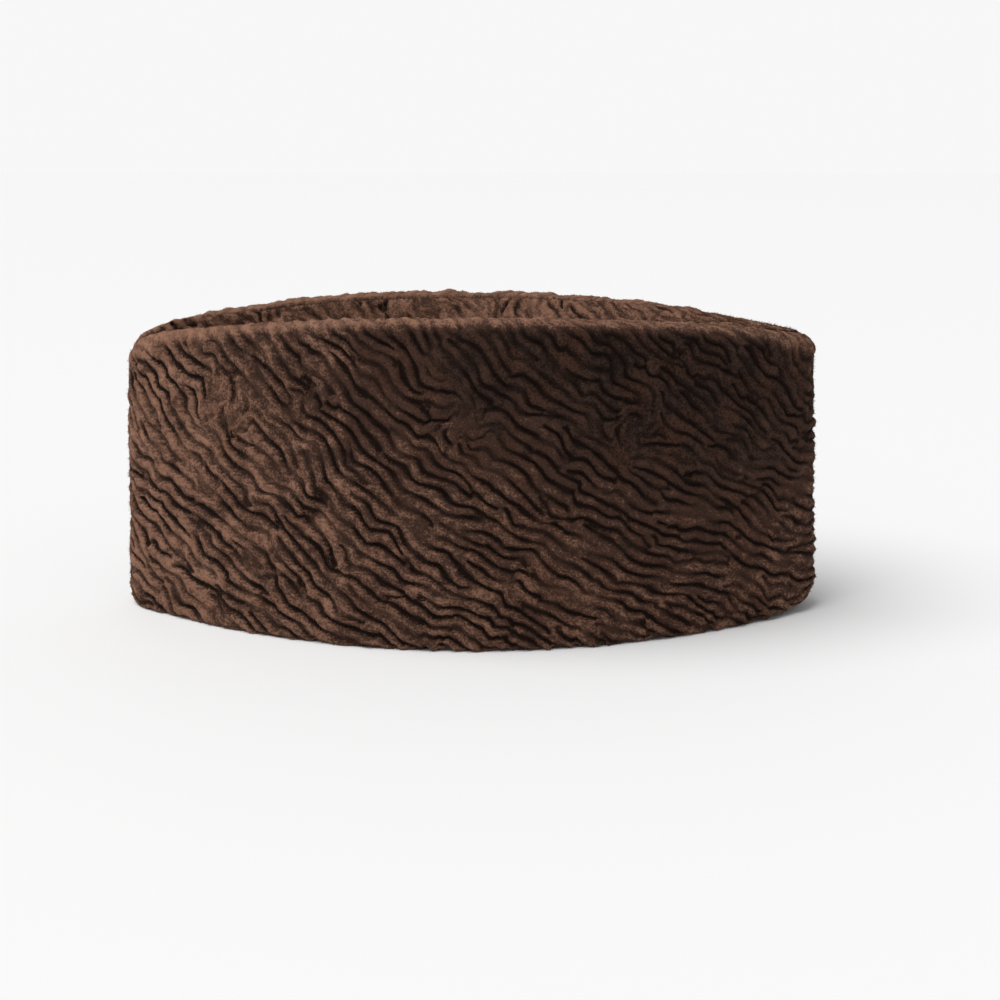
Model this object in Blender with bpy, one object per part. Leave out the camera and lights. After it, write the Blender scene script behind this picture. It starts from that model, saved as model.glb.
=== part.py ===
# A karakul fur topi cap, standing open on its hem as it does when nobody wears it.
# Two curved side panels meet in a seam at the front and the back end. Their tops roll
# over a soft rim, and two crown panels join them there. The crown is creased along its
# middle: it sinks into a valley that is deep towards the front and runs out flat at the back.
#
# Frame: metres, +Z up, the origin on the surface under the middle of the cap.
# The front end points to -X, so the wearer's left side is at -Y.

import math

import bmesh
import bpy
import numpy as np
from mathutils import Vector

# Overall sizes, over the outside of the fur
cap_length = 0.260
cap_width = 0.114
ridge_height = 0.1135

# The wall is pelt, pile and stiffening together
wall_thickness = 0.0045
wall_lean = 0.0048  # how far the top of a wall stands in from its hem
hem_rounding = 0.0015
hem_turns = (0.0, 0.5)  # quarter turns round the hem's outer corner
seam_gap = 0.0003
crease_angle = 50  # degrees, past which an edge is shaded sharp

# Rounding of the ends and of the rim, measured on the inner face of the wall
end_inner_radius = 0.003
rim_inner_radius = 0.002

# The seam between side and crown, inward from the outer face of the rim
seam_inset = 0.0088
seam_tip_radius = 0.0018
seam_taper_share = 0.25  # of the half length, over which the seam draws in to the tip

# The crease of the crown and the soft outer corners of the two ends
valley_depth = 0.032
front_top_rounding = 0.012
front_hem_rounding = 0.006
back_hem_rounding = 0.011

# How finely the curves are divided
body_stations = 34
fan_stations = 4
wall_rows = 6
rim_shares = (0.0, 0.035, 0.13, 0.28, 0.48, 0.72, 1.0)
crown_shares = (0.0, 0.06, 0.14, 0.25, 0.4, 0.6, 0.8, 1.0)

# One row for each section, from the front end to the back end.
# along: share of the half length. left_ridge, right_ridge: shares of ridge_height.
# valley: share of valley_depth at the middle seam.
sections = {
    "along": (-1.0, -0.9, -0.75, -0.5, -0.2, 0.1, 0.3, 0.45, 0.6, 0.85, 1.0),
    "left_ridge": (0.892, 0.908, 0.934, 0.969, 0.991, 0.994, 0.987, 0.977, 0.962, 0.925, 0.9),
    "right_ridge": (0.906, 0.926, 0.956, 0.985, 0.996, 0.996, 0.987, 0.979, 0.965, 0.927, 0.9),
    "valley": (0.0, 0.16, 0.5, 0.84, 1.0, 0.86, 0.56, 0.26, 0.08, 0.0, 0.0),
}

# How the crown falls from the rim to the middle seam: shares of the way across and of the drop
crown_fall = {
    "across": (0.0, 0.08, 0.2, 0.45, 0.75, 1.0),
    "drop": (0.0, 0.035, 0.21, 0.62, 0.91, 1.0),
}

fur_brown = (0.085, 0.048, 0.034, 1.0)

# Worked out from the sizes above
end_radius = wall_lean + wall_thickness + end_inner_radius
rim_radius = wall_thickness + rim_inner_radius
half_length = cap_length / 2
half_width = cap_width / 2
spine_length = half_length - end_radius
spine_width = half_width - end_radius


def smooth_between(table, key, column, at):
    """The column's value at a place, on a smooth curve through the table's rows."""
    places = table[key]
    values = table[column]
    at = min(max(at, places[0]), places[-1])
    slopes = [
        (values[i + 1] - values[i]) / (places[i + 1] - places[i])
        for i in range(len(places) - 1)
    ]

    def tangent(i):
        if i == 0:
            return slopes[0]
        if i == len(slopes):
            return slopes[-1]
        if slopes[i - 1] * slopes[i] <= 0:
            return 0.0
        return 2 * slopes[i - 1] * slopes[i] / (slopes[i - 1] + slopes[i])

    i = max(k for k in range(len(slopes)) if places[k] <= at)
    step = places[i + 1] - places[i]
    t = (at - places[i]) / step
    rise = values[i + 1] - values[i]
    return (
        values[i]
        + tangent(i) * step * (t - 2 * t**2 + t**3)
        + rise * (3 * t**2 - 2 * t**3)
        + tangent(i + 1) * step * (t**3 - t**2)
    )


def smoothstep(share):
    share = min(max(share, 0.0), 1.0)
    return share * share * (3 - 2 * share)


def plan_stations():
    """Feet of the sections on the spine, a pointed lens inside the cap, and their outward directions.

    The outline of the cap is the spine grown by end_radius, so its ends are round.
    """
    tip_slope = 2 * spine_width / spine_length
    tip_turn = math.atan2(1.0, tip_slope)  # of the body's first outward direction, off the long axis
    stations = []
    for k in range(fan_stations):
        turn = tip_turn * k / fan_stations
        stations.append(((-spine_length, 0.0), (-math.cos(turn), -math.sin(turn))))
    for k in range(body_stations + 1):
        x = spine_length * (2 * k / body_stations - 1)
        y = -spine_width * (1 - (x / spine_length) ** 2)
        slope = 2 * spine_width * x / spine_length**2
        size = math.hypot(slope, 1.0)
        stations.append(((x, y), (slope / size, -1 / size)))
    for k in reversed(range(fan_stations)):
        turn = tip_turn * k / fan_stations
        stations.append(((spine_length, 0.0), (math.cos(turn), -math.sin(turn))))
    return stations


def seam_depth(x):
    """How far inside the hem's outline the crown seam runs, near a place along the cap."""
    at_tip = end_radius - seam_tip_radius
    in_body = wall_lean + seam_inset
    taper = seam_taper_share * half_length
    share = smoothstep((spine_length - abs(x)) / taper)
    return at_tip + (in_body - at_tip) * share


def placed(station, inset):
    """The plan point at a distance inside the hem's outline, on the left side."""
    (x, y), (out_x, out_y) = station
    reach = end_radius - inset
    return x + out_x * reach, y + out_y * reach


crest_depth = wall_lean + rim_radius
crest_line = np.array([placed(s, crest_depth) for s in plan_stations()])


def crest_half_width(x):
    """Half the distance between the two crests at a place along the cap."""
    return float(np.interp(x, crest_line[:, 0], -crest_line[:, 1]))


def ridge(x, side):
    return ridge_height * smooth_between(sections, "along", side, x / half_length)


def middle_height(x):
    """The height of the crown's middle seam."""
    both = (ridge(x, "left_ridge") + ridge(x, "right_ridge")) / 2
    return both - valley_depth * smooth_between(sections, "along", "valley", x / half_length)


def crown_height(x, y, side):
    """The outer face of the crown, from the crest to the middle seam."""
    across = 1 - abs(y) / max(crest_half_width(x), end_inner_radius)
    drop = smooth_between(crown_fall, "across", "drop", across)
    top = ridge(x, side)
    return top - (top - middle_height(x)) * drop


def crown_slope_stretch(x, y, side):
    """How much taller than square to it a sloping wall is, measured straight down."""
    step = seam_gap
    outer = abs(y) + step
    inner = max(abs(y) - step, 0.0)
    rise = crown_height(x, outer, side) - crown_height(x, inner, side)
    return math.hypot(rise / (outer - inner), 1.0)


def corner_fall(distance, rounding):
    """How far a round corner falls away at a distance from its end."""
    inside = min(max(rounding - distance, 0.0), rounding)
    return rounding - math.sqrt(rounding**2 - inside**2)


def settled(x, y, z):
    """The point with the soft corners of both ends taken off, high ones down and hem ones up."""
    share = z / ridge_height
    lean = wall_lean * share
    from_front = x + half_length - lean
    from_back = half_length - lean - x
    fall = corner_fall(from_front, front_top_rounding)
    lift = corner_fall(from_front, front_hem_rounding) + corner_fall(from_back, back_hem_rounding)
    in_top_half = smoothstep(2 * share - 1)
    in_lowest_third = smoothstep(1 - 3 * share)
    return Vector((x, y - seam_gap / 2, z - fall * in_top_half + lift * in_lowest_third))


def side_section(station, side):
    """One closed ring round the wall: up the outer face, over the rim to the seam, and down inside."""
    seam = seam_depth(station[0][0]) - seam_gap / 2
    x_rim, _ = placed(station, wall_lean)
    top = ridge(x_rim, side) - rim_radius

    def wall_point(inset, z):
        x, y = placed(station, inset + wall_lean * z / top)
        return settled(x, y, z)

    def rim_point(inset, radius):
        x, y = placed(station, inset)
        to_crest = crest_depth - inset
        if to_crest > 0:
            z = ridge(x_rim, side) - rim_radius + math.sqrt(max(radius**2 - to_crest**2, 0.0))
        else:
            z = crown_height(x, y, side)
            z -= (rim_radius - radius) * crown_slope_stretch(x, y, side)
        return settled(x, y, z)

    ring = []
    for turn in hem_turns:
        angle = turn * math.pi / 2
        low = hem_rounding * (1 - math.cos(angle))
        ring.append(wall_point(hem_rounding * (1 - math.sin(angle)), low))
    for row in range(wall_rows):
        ring.append(wall_point(0.0, hem_rounding + (top - hem_rounding) * row / wall_rows))
    for share in rim_shares:
        ring.append(rim_point(wall_lean + (seam - wall_lean) * share, rim_radius))
    inner_start = wall_lean + wall_thickness
    for share in reversed(rim_shares):
        ring.append(rim_point(inner_start + (seam - inner_start) * share, rim_inner_radius))
    for row in reversed(range(wall_rows)):
        ring.append(wall_point(wall_thickness, top * row / wall_rows))
    return ring


def crown_section(station, side):
    """One closed ring across a crown panel, from the rim seam to the middle seam."""
    x, seam_y = placed(station, seam_depth(station[0][0]) + seam_gap / 2)
    ys = [seam_y * (1 - share) for share in crown_shares]
    upper = [settled(x, y, crown_height(x, y, side)) for y in ys]
    lower = []
    for y in reversed(ys):
        depth = wall_thickness * crown_slope_stretch(x, y, side)
        lower.append(settled(x, y, crown_height(x, y, side) - depth))
    return upper + lower


def loft(name, rings):
    """A closed solid through rings of equal length, with a flat face on the first and the last."""
    shape = bmesh.new()
    loops = [[shape.verts.new(point) for point in ring] for ring in rings]
    count = len(loops[0])
    for low, high in zip(loops, loops[1:]):
        for i in range(count):
            j = (i + 1) % count
            shape.faces.new((low[i], low[j], high[j], high[i]))
    shape.faces.new(loops[0][::-1])
    shape.faces.new(loops[-1])
    bmesh.ops.recalc_face_normals(shape, faces=shape.faces)
    mesh = bpy.data.meshes.new(name)
    shape.to_mesh(mesh)
    shape.free()
    mesh.shade_smooth()
    mesh.set_sharp_from_angle(angle=math.radians(crease_angle))
    return bpy.data.objects.new(name, mesh)


def mirrored(rings):
    """The same rings on the other side of the cap's long axis."""
    return [[Vector((p.x, -p.y, p.z)) for p in ring] for ring in rings]


def fur_material(name):
    material = bpy.data.materials.new(name)
    material.use_nodes = True
    shader = material.node_tree.nodes["Principled BSDF"]
    shader.inputs["Base Color"].default_value = fur_brown
    shader.inputs["Roughness"].default_value = 0.9
    shader.inputs["Metallic"].default_value = 0.0
    return material


def build_cap():
    for leftover in list(bpy.data.objects):
        bpy.data.objects.remove(leftover, do_unlink=True)
    collection = bpy.data.collections.new("topi_cap")
    bpy.context.scene.collection.children.link(collection)

    stations = plan_stations()
    body = stations[fan_stations : fan_stations + body_stations + 1]
    panels = {
        "left_side_panel": [side_section(s, "left_ridge") for s in stations],
        "right_side_panel": mirrored([side_section(s, "right_ridge") for s in stations]),
        "left_crown_panel": [crown_section(s, "left_ridge") for s in body],
        "right_crown_panel": mirrored([crown_section(s, "right_ridge") for s in body]),
    }
    for name, rings in panels.items():
        panel = loft(name, rings)
        panel.data.materials.append(fur_material(name + "_fur"))
        collection.objects.link(panel)


build_cap()
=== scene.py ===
import math

import bpy
import numpy as np
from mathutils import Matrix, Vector
from mathutils.bvhtree import BVHTree


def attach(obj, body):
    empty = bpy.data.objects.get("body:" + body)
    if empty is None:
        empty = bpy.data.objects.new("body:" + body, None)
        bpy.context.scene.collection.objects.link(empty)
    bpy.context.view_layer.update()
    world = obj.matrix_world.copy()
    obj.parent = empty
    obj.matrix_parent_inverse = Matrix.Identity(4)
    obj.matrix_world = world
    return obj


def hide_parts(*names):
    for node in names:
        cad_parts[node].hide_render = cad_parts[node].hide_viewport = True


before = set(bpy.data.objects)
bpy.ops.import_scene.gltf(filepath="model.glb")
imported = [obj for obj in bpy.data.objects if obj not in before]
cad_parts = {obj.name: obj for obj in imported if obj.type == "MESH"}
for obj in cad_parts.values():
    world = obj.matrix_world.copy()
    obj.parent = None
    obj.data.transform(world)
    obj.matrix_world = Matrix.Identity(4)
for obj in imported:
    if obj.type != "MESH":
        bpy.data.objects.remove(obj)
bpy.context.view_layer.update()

# A folding topi cap of short curly lamb fur, standing open on its hem.
# Each panel of the cad model gets a skin of fur with real ridges and grooves, and short hairs.

bodyName = "root"
mmPerMetre = 1000.0
tiny = 1e-15                    # keeps a division from failing
print("cad model loaded")

# Plan and section of the cap as the cad model has them, in metres
capPlan = {
    "spineLength": 0.1177,      # half the length of the pointed lens inside the cap
    "spineWidth": 0.0447,
    "endRadius": 0.0123,        # from the lens to the outline of the hem
    "crestDepth": 0.0113,       # from that outline in to the top of the rim
    "rimRadius": 0.0065,
    "wallThickness": 0.0045,
    "seamBodyDepth": 0.0136,    # from the outline in to the crown seam
    "seamTipDepth": 0.0105,
    "seamTaper": 0.0325,
    "panelShift": 0.0002,       # each panel stands this far off the middle plane
}


def smoothStep(share):
    share = np.clip(share, 0.0, 1.0)
    return share * share * (3 - 2 * share)


# Camera, floor and light

cameraUser = {
    "place": (0.0223, -0.50475, 0.16175),
    "pitchDown": 0.237,
    "turnLeft": 0.022,
    "lens": 50.0,
    "nearest": 0.01,
}


def addCamera(user):
    turn = (math.pi / 2 - user["pitchDown"], 0.0, user["turnLeft"])
    bpy.ops.object.camera_add(location=user["place"], rotation=turn)
    camera = bpy.context.object
    camera.name = "photoCamera"
    camera.data.lens = user["lens"]
    camera.data.clip_start = user["nearest"]
    bpy.context.scene.camera = camera


studioUser = {
    "floorRadius": 30.0,
    "floorSides": 96,
    "floorColour": (0.93, 0.93, 0.93, 1.0),
    "floorRoughness": 0.8,
    "sunFrom": (-0.45, -0.20, 0.87),    # above, a little towards the front end and the camera
    "sunSpread": 0.9,
    "sunStrength": 2.4,
    "skyColour": (1.0, 1.0, 1.0, 1.0),
    "skyStrength": 0.38,
    "skySeen": 0.935,                   # as bright as the floor looks, so that no horizon shows
}


def addFloor(user):
    bpy.ops.object.select_all(action="DESELECT")
    bpy.ops.mesh.primitive_circle_add(
        vertices=user["floorSides"], radius=user["floorRadius"], fill_type="NGON"
    )
    floor = bpy.context.object
    floor.name = "studioFloor"
    paper = bpy.data.materials.new("palePaper")
    paper.use_nodes = True
    shader = paper.node_tree.nodes["Principled BSDF"]
    shader.inputs["Base Color"].default_value = user["floorColour"]
    shader.inputs["Roughness"].default_value = user["floorRoughness"]
    floor.data.materials.append(paper)


def addLight(user):
    turn = Vector(user["sunFrom"]).to_track_quat("Z", "Y").to_euler()
    bpy.ops.object.light_add(type="SUN", location=user["sunFrom"], rotation=turn)
    sun = bpy.context.object
    sun.name = "softOverhead"
    sun.data.angle = user["sunSpread"]
    sun.data.energy = user["sunStrength"]

    # The sky lights the cap more softly than it looks behind it
    world = bpy.data.worlds.new("softSky")
    world.use_nodes = True
    tree = world.node_tree
    lighting = tree.nodes["Background"]
    lighting.inputs["Color"].default_value = user["skyColour"]
    lighting.inputs["Strength"].default_value = user["skyStrength"]
    seen = tree.nodes.new("ShaderNodeBackground")
    seen.inputs["Color"].default_value = user["skyColour"]
    seen.inputs["Strength"].default_value = user["skySeen"]
    rays = tree.nodes.new("ShaderNodeLightPath")
    choose = tree.nodes.new("ShaderNodeMixShader")
    tree.links.new(rays.outputs["Is Camera Ray"], choose.inputs["Fac"])
    tree.links.new(lighting.outputs[0], choose.inputs[1])
    tree.links.new(seen.outputs[0], choose.inputs[2])
    tree.links.new(choose.outputs[0], tree.nodes["World Output"].inputs["Surface"])
    bpy.context.scene.world = world
    bpy.context.scene.view_settings.view_transform = "Standard"


addCamera(cameraUser)
addFloor(studioUser)
addLight(studioUser)
print("camera and studio placed")


# Reading the panels' surfaces from the cad model, section by section

reading = {
    "rayReach": 0.05,
    "above": 0.09,              # a height that is inside the ray's reach of every ridge
    "hemCentreDepth": 0.00225,
    "hemCentreHeight": 0.007,
    "wallCentre": 0.004,        # reach at which rays aimed at the wall end
    "hemRays": 10,
    "wallRays": 18,
    "rimRays": 14,
    "slopeRays": 6,
    "slopeStop": 0.0001,        # the last ray stays this far short of the crown seam
    "crownRays": 24,
    "smoothing": 0.0025,        # along the panel, so that no facet shows
    "smoothingSpans": 3,        # of that length, to either side
    "curveSteps": 4001,
    "fanSteps": 240,
    "mergeWithin": 0.000001,    # closes the rings
}


# Feet on the lens, outward directions there and the run along the cap's outline
def panelStations(spacing, withEnds):
    length = capPlan["spineLength"]
    width = capPlan["spineWidth"]
    along = np.linspace(-length, length, reading["curveSteps"])
    slope = 2 * width * along / length**2
    size = np.hypot(slope, 1.0)
    feet = np.stack([along, -width * (1 - (along / length) ** 2)], 1)
    outward = np.stack([slope / size, -1 / size], 1)
    if withEnds:
        tipTurn = math.atan2(1.0, 2 * width / length)
        fan = np.linspace(0.0, tipTurn, reading["fanSteps"])[:-1]
        front = np.stack([-np.cos(fan), -np.sin(fan)], 1)
        back = front[::-1] * (-1, 1)
        tips = np.zeros((len(fan), 2)) + (length, 0.0)
        feet = np.concatenate([-tips, feet, tips])
        outward = np.concatenate([front, outward, back])
    outline = feet + outward * capPlan["endRadius"]
    run = runAlong(outline)
    at = np.linspace(0.0, run[-1], round(run[-1] / spacing) + 1)
    feet = readPath(feet, run, at)
    outward = readPath(outward, run, at)
    outward /= np.linalg.norm(outward, axis=1)[:, None]
    return feet, outward, at - run[-1] / 2


def runAlong(path):
    steps = np.linalg.norm(np.diff(path, axis=0), axis=1)
    return np.concatenate([[0.0], np.cumsum(steps)])


def readPath(path, run, at):
    return np.stack([np.interp(at, run, path[:, k]) for k in (0, 1)], 1)


# Points at the given shares of a path's length, and their runs
def spacedAlong(path, shares):
    path = np.array(path)
    run = runAlong(path)
    at = shares * run[-1]
    return readPath(path, run, at), at


def seamDepth(along):
    share = smoothStep((capPlan["spineLength"] - np.abs(along)) / capPlan["seamTaper"])
    return capPlan["seamTipDepth"] + (capPlan["seamBodyDepth"] - capPlan["seamTipDepth"]) * share


def surfaceTree(nodeName):
    return BVHTree.FromObject(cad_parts[nodeName], bpy.context.evaluated_depsgraph_get())


# Where a ray from outside, aimed at a point of the section, first meets the panel
def castInSection(tree, foot, outward, side, reach, height, turn):
    way = (math.cos(turn), math.sin(turn))
    far = reading["rayReach"]
    fromReach = reach + far * way[0]
    x = foot[0] + outward[0] * fromReach
    y = foot[1] + outward[1] * fromReach - capPlan["panelShift"]
    start = Vector((x, side * y, height + far * way[1]))
    aim = Vector((-outward[0] * way[0], -side * outward[1] * way[0], -way[1]))
    hit = tree.ray_cast(start, aim, 2 * far)[0]
    if hit is None:
        return None
    met = far - (hit - start).length
    return (reach + met * way[0], height + met * way[1])


# The outer face of a side panel in one section, from under the hem to the crown seam
def sideSection(tree, foot, outward, side):
    crest = capPlan["endRadius"] - capPlan["crestDepth"]
    seam = capPlan["endRadius"] - float(seamDepth(foot[0]))
    peak = max(crest, seam + 2 * reading["slopeStop"])
    top = castInSection(tree, foot, outward, side, peak, reading["above"], math.pi / 2)[1]
    centre = top - capPlan["rimRadius"]
    lastTurn = math.acos(min(max((seam - crest) / capPlan["rimRadius"], 0.0), 1.0))
    hemReach = capPlan["endRadius"] - reading["hemCentreDepth"]
    hemHeight = reading["hemCentreHeight"]
    aims = []
    for turn in np.linspace(-math.pi / 2, 0.0, reading["hemRays"]):
        aims.append((hemReach, hemHeight, turn))
    for height in np.linspace(hemHeight, centre, reading["wallRays"])[1:-1]:
        aims.append((reading["wallCentre"], height, 0.0))
    for turn in np.linspace(0.0, lastTurn, reading["rimRays"]):
        aims.append((crest, centre, turn))
    if seam < crest:
        for reach in np.linspace(crest, seam + reading["slopeStop"], reading["slopeRays"])[1:]:
            aims.append((reach, centre, math.pi / 2))
    met = [castInSection(tree, foot, outward, side, *aim) for aim in aims]
    return [point for point in met if point is not None]


# The path moved to the inside of the wall
def offsetInward(path):
    run = np.gradient(path, axis=0)
    run /= np.linalg.norm(run, axis=1)[:, None]
    inward = np.stack([-run[:, 1], run[:, 0]], 1)
    return path + inward * capPlan["wallThickness"]


def innerFace(path, shares):
    inner, _ = spacedAlong(path, shares)
    return offsetInward(inner[::-1])[::-1]


# Rings smoothed from one to the next, with rings that stand in for what lies past each end
def smoothedAlong(rings, spacing, before, after):
    reach = len(before)
    steps = np.arange(-reach, reach + 1) * spacing
    weights = np.exp(-0.5 * (steps / reading["smoothing"]) ** 2)
    weights /= weights.sum()
    padded = np.concatenate([before, rings, after])
    return sum(w * padded[k : k + len(rings)] for k, w in enumerate(weights))


def smoothingReach(spacing):
    return int(reading["smoothingSpans"] * reading["smoothing"] / spacing)


# Closed rings round a side panel's wall, the run of each and the height of its points on the fur
def sideRings(tree, side, user):
    feet, outward, run = panelStations(user["cell"], True)
    shares = np.linspace(0.0, 1.0, user["outerRows"])
    innerShares = np.linspace(1.0, user["innerStart"], user["innerRows"])
    rings = []
    heights = []
    for foot, out in zip(feet, outward):
        path = sideSection(tree, foot, out, side)
        outer, at = spacedAlong(path, shares)
        inner = innerFace(path, innerShares)
        corner = np.array([[inner[-1, 0], outer[0, 1] / 2]])
        ring = np.concatenate([outer, inner, corner, outer[:1]])
        x = foot[0] + out[0] * ring[:, 0]
        y = foot[1] + out[1] * ring[:, 0] - capPlan["panelShift"]
        rings.append(np.stack([x, y, ring[:, 1]], 1))
        heights.append(at)
    rings = np.array(rings)
    # past each end the other half of the cap goes on
    reach = smoothingReach(user["cell"])
    mirrored = rings * (1.0, -1.0, 1.0)
    before = mirrored[1 : reach + 1][::-1]
    after = mirrored[-reach - 1 : -1][::-1]
    rings = smoothedAlong(rings, user["cell"], before, after)
    # the hem turns up a little at the back, and its fur is uneven
    low = np.clip(1 - rings[:, :, 2] / user["hemLiftDepth"], 0.0, 1.0)
    last = smoothStep((run - run[-1] + user["hemLiftReach"]) / user["hemLiftReach"])
    uneven = softNoise((1, len(run)), user["cell"], user["hemLumpWidth"], seedOf(user, "hem"))[0]
    raised = user["hemLift"] * last + user["hemLumps"] * np.clip(uneven, 0.0, None)
    rings[:, :, 2] += raised[:, None] * low
    rings[:, :, 1] *= side
    return rings, run, np.array(heights)


# Closed rings round a crown panel, from the rim seam to the middle seam
def crownRings(tree, side, user):
    feet, outward, _ = panelStations(user["cell"], False)
    shift = capPlan["panelShift"]
    reach = capPlan["endRadius"] - seamDepth(feet[:, 0]) - shift
    edge = feet + outward * reach[:, None]
    far = reading["rayReach"]
    shares = np.linspace(0.0, 1.0, user["outerRows"])
    innerShares = np.linspace(1.0, 0.0, user["innerRows"])
    rings = []
    run = []
    heights = []
    for x, y in edge:
        path = []
        for share in np.linspace(1.0, 0.0, reading["crownRays"]):
            start = Vector((x, side * (y * share - shift), reading["above"] + far))
            hit = tree.ray_cast(start, Vector((0, 0, -1)), 2 * far)[0]
            if hit is not None:
                path.append((-side * hit.y, hit.z))
        if len(path) < user["fewestHits"]:
            continue
        outer, at = spacedAlong(path, shares)
        inner = innerFace(path, innerShares)
        inner[:, 0] = np.clip(inner[:, 0], outer[-1, 0], outer[0, 0])
        ring = np.concatenate([outer, inner, outer[:1]])
        rings.append(np.stack([np.full(len(ring), x), -ring[:, 0], ring[:, 1]], 1))
        run.append(x)
        heights.append(at)
    rings = np.array(rings)
    reach = smoothingReach(user["cell"])
    before = 2 * rings[:1] - rings[1 : reach + 1][::-1]
    after = 2 * rings[-1:] - rings[-reach - 1 : -1][::-1]
    rings = smoothedAlong(rings, user["cell"], before, after)
    rings[:, :, 1] *= side
    return rings, np.array(run), np.array(heights)


# Fur pattern on a flat sheet in millimetres: ridges and grooves that follow a field of directions

# each noise has its own place here, so that a change to one leaves the others as they were
noiseNames = [
    "broad turn", "fine turn", "whorl wobble", "first field", "strokes", "warp along", "warp up",
    "lumps", "locks", "patches", "flecks", "rust", "hairs", "groove width",
    "swing", "hem",
]
seedStep = 100                  # more than there are noises


def seedOf(user, name):
    return user["seed"] * seedStep + noiseNames.index(name)


# A layer with what is finer than the given width taken out of it
def softened(layer, cell, width):
    down = np.fft.fftfreq(layer.shape[0], cell)[:, None]
    across = np.fft.fftfreq(layer.shape[1], cell)[None, :]
    keep = np.exp(-((down**2 + across**2) * width**2))
    return np.fft.ifft2(np.fft.fft2(layer) * keep)


# Noise of unit spread whose lumps are about as wide as given
def softNoise(shape, cell, width, seed):
    rng = np.random.default_rng(seed)
    made = softened(rng.standard_normal(shape), cell, width).real
    return made / made.std()


def sheetNoise(sheet, width, name):
    return softNoise(sheet["along"].shape, sheet["cell"], width, seedOf(sheet["user"], name))


def makeSheet(user, length, height):
    cell = user["sheetCell"]
    margin = user["sheetMargin"]
    columns = int((length + 2 * margin) / cell)
    rows = int((height + 2 * margin) / cell)
    left = -length / 2 - margin
    along, up = np.meshgrid(left + np.arange(columns) * cell, np.arange(rows) * cell - margin)
    sheet = {"user": user, "cell": cell, "left": left, "bottom": -margin, "along": along, "up": up}
    sheet["flow"], sheet["curls"] = makeFlow(sheet, length, height)
    makeWave(sheet)
    return sheet


# Where a place on the panel lies on the sheet, which makes the fur coarser towards the front end
def sheetPlace(user, along, up):
    grow = user["finerBack"]
    return (
        user["fineness"] * along + grow * (along**2 - up**2) / 2,
        up * (user["fineness"] + grow * along),
    )


# Which way the ridges run at each place, and how much of a whorl is there
def makeFlow(sheet, length, height):
    user = sheet["user"]
    along = sheet["along"]
    share = np.clip(sheet["up"] / height, 0.0, 1.0)
    lean = user["leanLow"] + (user["leanHigh"] - user["leanLow"]) * share
    lean += user["leanFront"] * smoothStep(1 - (along + length / 2) / user["frontReach"])
    lean += user["leanBack"] * smoothStep(along / user["backReach"]) * (1 - share)
    lean += user["broadTurn"] * sheetNoise(sheet, user["broadWidth"], "broad turn")
    lean += user["fineTurn"] * sheetNoise(sheet, user["fineWidth"], "fine turn")
    double = np.exp(-2j * np.radians(lean))
    curls = np.zeros_like(lean)
    wobble = user["whorlWobble"] * sheetNoise(sheet, user["whorlGrain"], "whorl wobble")
    for whorlAlong, whorlUp, radius, strength in user["whorls"]:
        centreAlong, centreUp = sheetPlace(user, whorlAlong, whorlUp)
        off = (along - centreAlong) + 1j * (sheet["up"] - centreUp)
        weight = strength * np.exp(-((np.abs(off) / radius) ** user["whorlEdge"]))
        curl = np.exp(2j * (np.angle(off) + np.radians(user["whorlTurn"] + wobble)))
        double = double * (1 - weight) + curl * weight
        curls = np.maximum(curls, weight)
    return 0.5 * np.angle(double), curls


directionCount = 18


# Long thin filters, one for each of those directions, with ridges a period apart
def makeBank(sheet, reachAlong, reachAcross, period):
    rows, columns = sheet["along"].shape
    down = np.fft.fftfreq(rows) * rows * sheet["cell"]
    across = np.fft.fftfreq(columns) * columns * sheet["cell"]
    offX, offY = np.meshgrid(across, down)
    bank = []
    for turn in np.arange(directionCount) * math.pi / directionCount - math.pi / 2:
        run = offX * math.cos(turn) + offY * math.sin(turn)
        aside = offY * math.cos(turn) - offX * math.sin(turn)
        hill = np.exp(-0.5 * ((run / reachAlong) ** 2 + (aside / reachAcross) ** 2))
        kernel = hill
        if period:
            kernel = hill * np.exp(2j * math.pi * aside / period)
            kernel = kernel - hill * (kernel.sum() / hill.sum())
        bank.append(np.fft.fft2(kernel))
    return bank


# A field drawn out along the flow: each place gets the answers of the two filters that are
# nearest to its direction
def followFlow(sheet, bank, field):
    place = (sheet["flow"] + math.pi / 2) / math.pi * directionCount
    lower = np.floor(place).astype(int)
    share = place - lower
    spectrum = np.fft.fft2(field)
    answer = np.zeros(field.shape, complex)
    for k, filtered in enumerate(bank):
        isLower = lower % directionCount == k
        isUpper = (lower + 1) % directionCount == k
        if not (isLower.any() or isUpper.any()):
            continue
        reply = np.fft.ifft2(spectrum * filtered)
        weight = np.where(isLower, 1 - share, 0.0) + np.where(isUpper, share, 0.0)
        halfTurned = isUpper & (lower + 1 == directionCount)
        answer += weight * np.where(halfTurned, np.conj(reply), reply)
    return answer / np.sqrt((np.abs(answer) ** 2).mean())


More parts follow.
